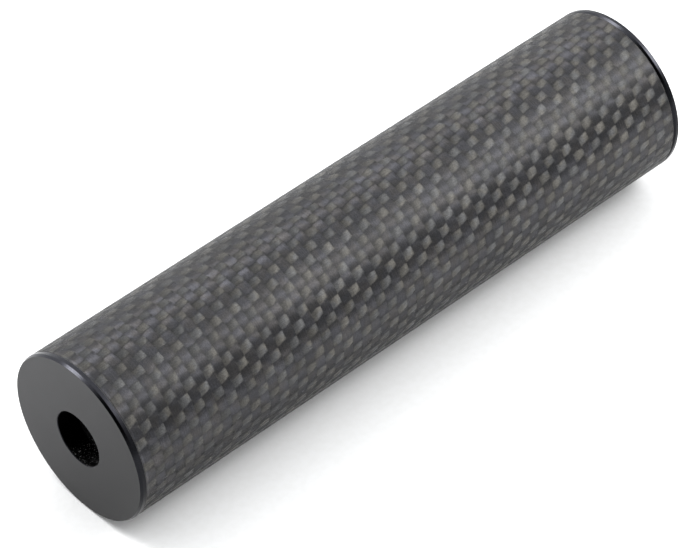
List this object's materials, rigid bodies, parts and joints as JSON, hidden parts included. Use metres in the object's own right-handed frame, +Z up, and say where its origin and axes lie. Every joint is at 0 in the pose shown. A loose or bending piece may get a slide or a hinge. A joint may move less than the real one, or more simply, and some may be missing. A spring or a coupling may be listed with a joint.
{
  "type": "inert suppressor display model",
  "caption": "Inert display model of a suppressor's outside: woven carbon sleeve over a solid core, black end caps, a blind front recess and a plain closed rear boss. Nothing in it works.",
  "frame": {"origin": "under the middle of the overall length, on the surface that the tube lies on", "axes": "+X runs along the tube from the front face with the recess to the rear boss, and +Z is up from the surface"},
  "size_m": [0.1324, 0.032, 0.032],
  "materials": {
    "woven_carbon": "plain-weave carbon fibre under a satin clear resin",
    "black_anodised": "fine-blasted and black anodised, satin",
    "hardwood_dowel": "unfinished, hidden",
    "black_foam": "open-cell foam, matte",
    "black_epoxy": "cured adhesive, matte"
  },
  "bodies": {
    "root": {"carbon_sleeve": "woven_carbon", "front_cap": "black_anodised", "rear_cap": "black_anodised", "filler_core": "hardwood_dowel", "recess_pad": "black_foam", "front_bond_line": "black_epoxy", "rear_bond_line": "black_epoxy"}
  },
  "joints": []
}
